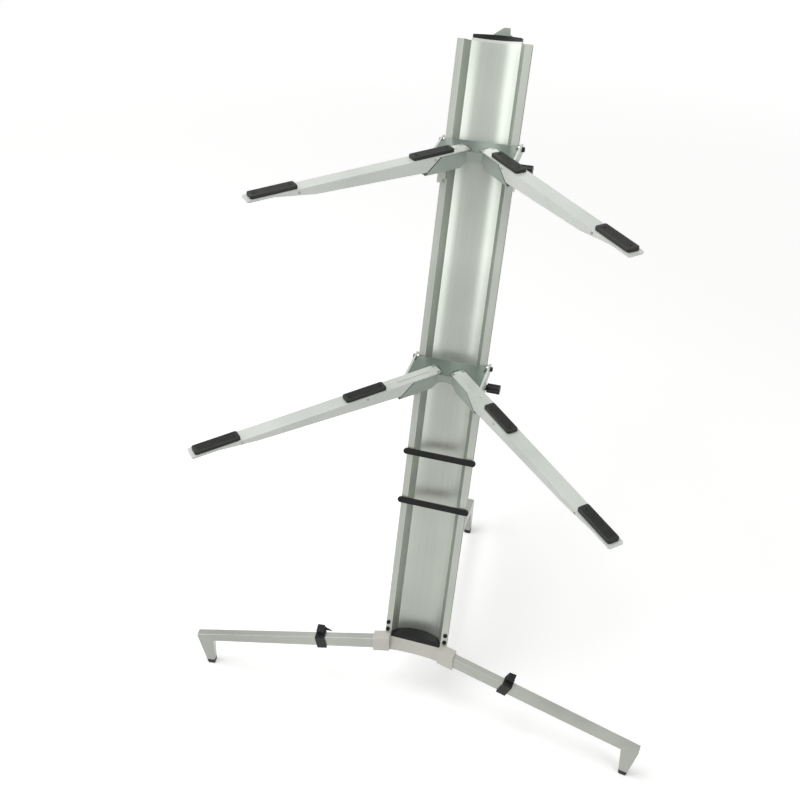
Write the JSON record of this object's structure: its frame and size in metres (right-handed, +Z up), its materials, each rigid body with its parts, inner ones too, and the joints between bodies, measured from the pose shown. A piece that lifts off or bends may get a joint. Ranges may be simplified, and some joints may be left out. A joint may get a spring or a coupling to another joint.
{
  "type": "folding keyboard stand",
  "caption": "Keyboard stand: a leaning open aluminium column on plug-in legs, with sliding, tilting tiers whose rubber-padded support arms fold up.",
  "frame": {"origin": "centre of the footprint's bounding box, on the floor", "axes": "+X to the right seen from the front, +Y to the back, +Z up"},
  "size_m": [1.0662, 0.7566, 1.4053],
  "materials": {
    "column_aluminium": "satin anodised, brushed along its length",
    "arm_aluminium": "satin anodised",
    "leg_aluminium": "silver paint, satin",
    "cover_grey": "grey-green enamel, satin",
    "black_plastic": "moulded black plastic",
    "pad_rubber": "matt rubber",
    "steel": "zinc plated"
  },
  "bodies": {
    "stand": {"column_profile": "column_aluminium", "bottom_cap": "black_plastic", "top_collar": "arm_aluminium", "top_cap": "black_plastic", "top_hook": "cover_grey", "hook_screws": "steel", "base_hub": "leg_aluminium", "hub_screws": "black_plastic", "upper_band": "black_plastic", "lower_band": "black_plastic", "band_studs": "black_plastic"},
    "left_leg_unit": {"left_leg": "leg_aluminium", "left_tenon": "steel", "left_foot": "pad_rubber", "left_cable_clip": "black_plastic"},
    "right_leg_unit": {"right_leg": "leg_aluminium", "right_tenon": "steel", "right_foot": "pad_rubber", "right_cable_clip": "black_plastic"},
    "rear_leg_unit": {"rear_leg": "leg_aluminium", "rear_tenon": "steel", "rear_foot": "pad_rubber"},
    "lower_slider": {"lower_slide_block_left": "column_aluminium", "lower_slide_block_right": "column_aluminium", "lower_slot_nuts": "steel", "lower_pivot_bolts": "steel", "lower_block_screws": "steel"},
    "lower_clamp": {"lower_clamp_knob": "black_plastic", "lower_clamp_stud": "steel"},
    "lower_tray": {"lower_yoke": "column_aluminium", "lower_seat_buffers": "pad_rubber", "lower_top_plate": "cover_grey", "lower_side_plates": "arm_aluminium", "lower_side_screws": "steel", "lower_hinge_pins": "steel"},
    "lower_left_support": {"lower_left_arm": "arm_aluminium", "lower_left_pads": "pad_rubber", "lower_left_rivets": "steel"},
    "lower_right_support": {"lower_right_arm": "arm_aluminium", "lower_right_pads": "pad_rubber", "lower_right_rivets": "steel"},
    "upper_slider": {"upper_slide_block_left": "column_aluminium", "upper_slide_block_right": "column_aluminium", "upper_slot_nuts": "steel", "upper_pivot_bolts": "steel", "upper_block_screws": "steel"},
    "upper_clamp": {"upper_clamp_knob": "black_plastic", "upper_clamp_stud": "steel"},
    "upper_tray": {"upper_yoke": "column_aluminium", "upper_seat_buffers": "pad_rubber", "upper_top_plate": "cover_grey", "upper_side_plates": "arm_aluminium", "upper_side_screws": "steel", "upper_hinge_pins": "steel"},
    "upper_left_support": {"upper_left_arm": "arm_aluminium", "upper_left_pads": "pad_rubber", "upper_left_rivets": "steel"},
    "upper_right_support": {"upper_right_arm": "arm_aluminium", "upper_right_pads": "pad_rubber", "upper_right_rivets": "steel"}
  },
  "joints": [
    {"name": "left_leg_pull", "type": "slide", "parent": "stand", "child": "left_leg_unit", "axis": [-0.976, -0.1285, -0.1759], "range_m": [0, 0.036]},
    {"name": "right_leg_pull", "type": "slide", "parent": "stand", "child": "right_leg_unit", "axis": [0.976, -0.1285, -0.1759], "range_m": [0, 0.036]},
    {"name": "rear_leg_pull", "type": "slide", "parent": "stand", "child": "rear_leg_unit", "axis": [0, 0.9844, -0.1759], "range_m": [0, 0.036]},
    {"name": "lower_tier_slide", "type": "slide", "parent": "stand", "child": "lower_slider", "axis": [0, 0.3795, 0.9252], "range_m": [-0.1, 0.12]},
    {"name": "lower_clamp_turn", "type": "hinge", "parent": "lower_slider", "child": "lower_clamp", "pos_m": [0.09, 0.03761, 0.77665], "axis": [1, 0, 0], "range_deg": [-180, 180]},
    {"name": "lower_tier_tilt", "type": "hinge", "parent": "lower_slider", "child": "lower_tray", "pos_m": [0, 0.06404, 0.8058], "axis": [1, 0, 0], "range_deg": [-5, 15]},
    {"name": "lower_left_fold", "type": "hinge", "parent": "lower_tray", "child": "lower_left_support", "pos_m": [-0.02134, 0.01774, 0.81273], "axis": [-0.7254, 0.6884, 0], "range_deg": [0, 90]},
    {"name": "lower_right_fold", "type": "hinge", "parent": "lower_tray", "child": "lower_right_support", "pos_m": [0.02134, 0.01774, 0.81273], "axis": [-0.7254, -0.6884, 0], "range_deg": [0, 90]},
    {"name": "upper_tier_slide", "type": "slide", "parent": "stand", "child": "upper_slider", "axis": [0, 0.3795, 0.9252], "range_m": [-0.12, 0.1]},
    {"name": "upper_clamp_turn", "type": "hinge", "parent": "upper_slider", "child": "upper_clamp", "pos_m": [0.09, 0.20661, 1.18874], "axis": [1, 0, 0], "range_deg": [-180, 180]},
    {"name": "upper_tier_tilt", "type": "hinge", "parent": "upper_slider", "child": "upper_tray", "pos_m": [0, 0.23305, 1.21789], "axis": [1, 0, 0], "range_deg": [-5, 15]},
    {"name": "upper_left_fold", "type": "hinge", "parent": "upper_tray", "child": "upper_left_support", "pos_m": [-0.02134, 0.18675, 1.22482], "axis": [-0.7254, 0.6884, 0], "range_deg": [0, 90]},
    {"name": "upper_right_fold", "type": "hinge", "parent": "upper_tray", "child": "upper_right_support", "pos_m": [0.02134, 0.18675, 1.22482], "axis": [-0.7254, -0.6884, 0], "range_deg": [0, 90]}
  ]
}
